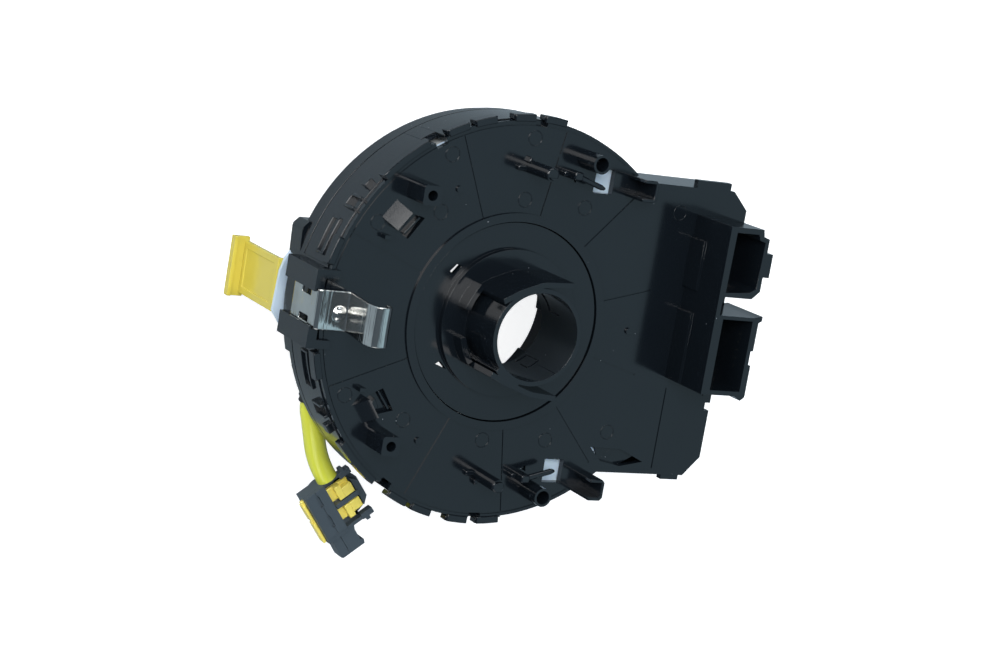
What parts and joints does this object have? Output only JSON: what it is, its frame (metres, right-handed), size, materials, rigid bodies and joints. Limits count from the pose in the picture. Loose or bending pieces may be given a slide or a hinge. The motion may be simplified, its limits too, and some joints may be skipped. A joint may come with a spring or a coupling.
{
  "type": "steering clock spring",
  "caption": "Steering clock spring with glossy black housing, slotted hub with cams, twin sockets, steel spring clip, yellow pull tab and airbag lead with plug",
  "frame": {"origin": "on the turning axis of the hub, at the back face of the housing plate", "axes": "+Z along the turning axis toward the steering column, +X toward the two harness sockets, +Y toward the side on which the screw posts, channels and pins repeat"},
  "size_m": [0.1278, 0.1309, 0.073],
  "materials": {
    "black_gloss": "moulded black, very glossy",
    "dark_plastic": "moulded dark grey",
    "pale_plastic": "natural white with a blue cast",
    "spring_steel": "bright rolled spring steel",
    "contact": "tinned brass",
    "cable_film": "clear film over flat conductors",
    "yellow_sleeve": "soft yellow-green sleeve",
    "dark_rubber": "moulded rubber",
    "slate_plastic": "moulded slate grey",
    "yellow_lock": "moulded warm yellow",
    "yellow_tab": "moulded lemon yellow"
  },
  "bodies": {
    "stator": {"back_plate": "black_gloss", "outer_case": "black_gloss", "connector_block": "black_gloss", "upper_socket_pins": "contact", "lower_socket_pins": "contact", "case_cable_block": "pale_plastic", "spring_clip": "spring_steel", "flat_cable": "cable_film"},
    "rotor": {"rotor_hub": "black_gloss", "front_rotor": "black_gloss", "rotor_cable_block": "dark_plastic", "front_socket_pins": "contact", "airbag_lead": "yellow_sleeve", "lead_grommet": "dark_rubber", "plug_body": "slate_plastic", "plug_cover": "slate_plastic", "plug_contacts": "contact", "lock_plate": "pale_plastic"},
    "carrier": {"cable_carrier": "pale_plastic"},
    "roller_1_body": {"roller_1": "pale_plastic"},
    "roller_2_body": {"roller_2": "pale_plastic"},
    "roller_3_body": {"roller_3": "pale_plastic"},
    "roller_4_body": {"roller_4": "pale_plastic"},
    "pull_tab": {"lock_tab": "yellow_tab"},
    "plug_slide": {"plug_lock": "yellow_lock"}
  },
  "joints": [
    {"name": "rotor_turn", "type": "hinge", "parent": "stator", "child": "rotor", "pos_m": [0, 0, 0], "axis": [0, 0, 1], "range_deg": [-900, 900], "deforming": ["flat_cable"]},
    {"name": "carrier_turn", "type": "hinge", "parent": "stator", "child": "carrier", "pos_m": [0, 0, 0], "axis": [0, 0, 1], "range_deg": [-330, 330]},
    {"name": "roller_1_spin", "type": "hinge", "parent": "carrier", "child": "roller_1_body", "pos_m": [-0.03427, 0.01979, -0.011], "axis": [0, 0, 1], "continuous": true},
    {"name": "roller_2_spin", "type": "hinge", "parent": "carrier", "child": "roller_2_body", "pos_m": [0.01979, 0.03427, -0.011], "axis": [0, 0, 1], "continuous": true},
    {"name": "roller_3_spin", "type": "hinge", "parent": "carrier", "child": "roller_3_body", "pos_m": [0.03427, -0.01979, -0.011], "axis": [0, 0, 1], "continuous": true},
    {"name": "roller_4_spin", "type": "hinge", "parent": "carrier", "child": "roller_4_body", "pos_m": [-0.01979, -0.03427, -0.011], "axis": [0, 0, 1], "continuous": true},
    {"name": "pull_tab_slide", "type": "slide", "parent": "rotor", "child": "pull_tab", "axis": [0, 0, -1], "range_m": [0, 0.03]},
    {"name": "plug_lock_slide", "type": "slide", "parent": "rotor", "child": "plug_slide", "axis": [0.7804, 0.6252, 0], "range_m": [-0.0018, 0]}
  ],
  "couplings": [
    {"joint": "carrier_turn", "follows": "rotor_turn", "ratio": 0.35456}
  ]
}
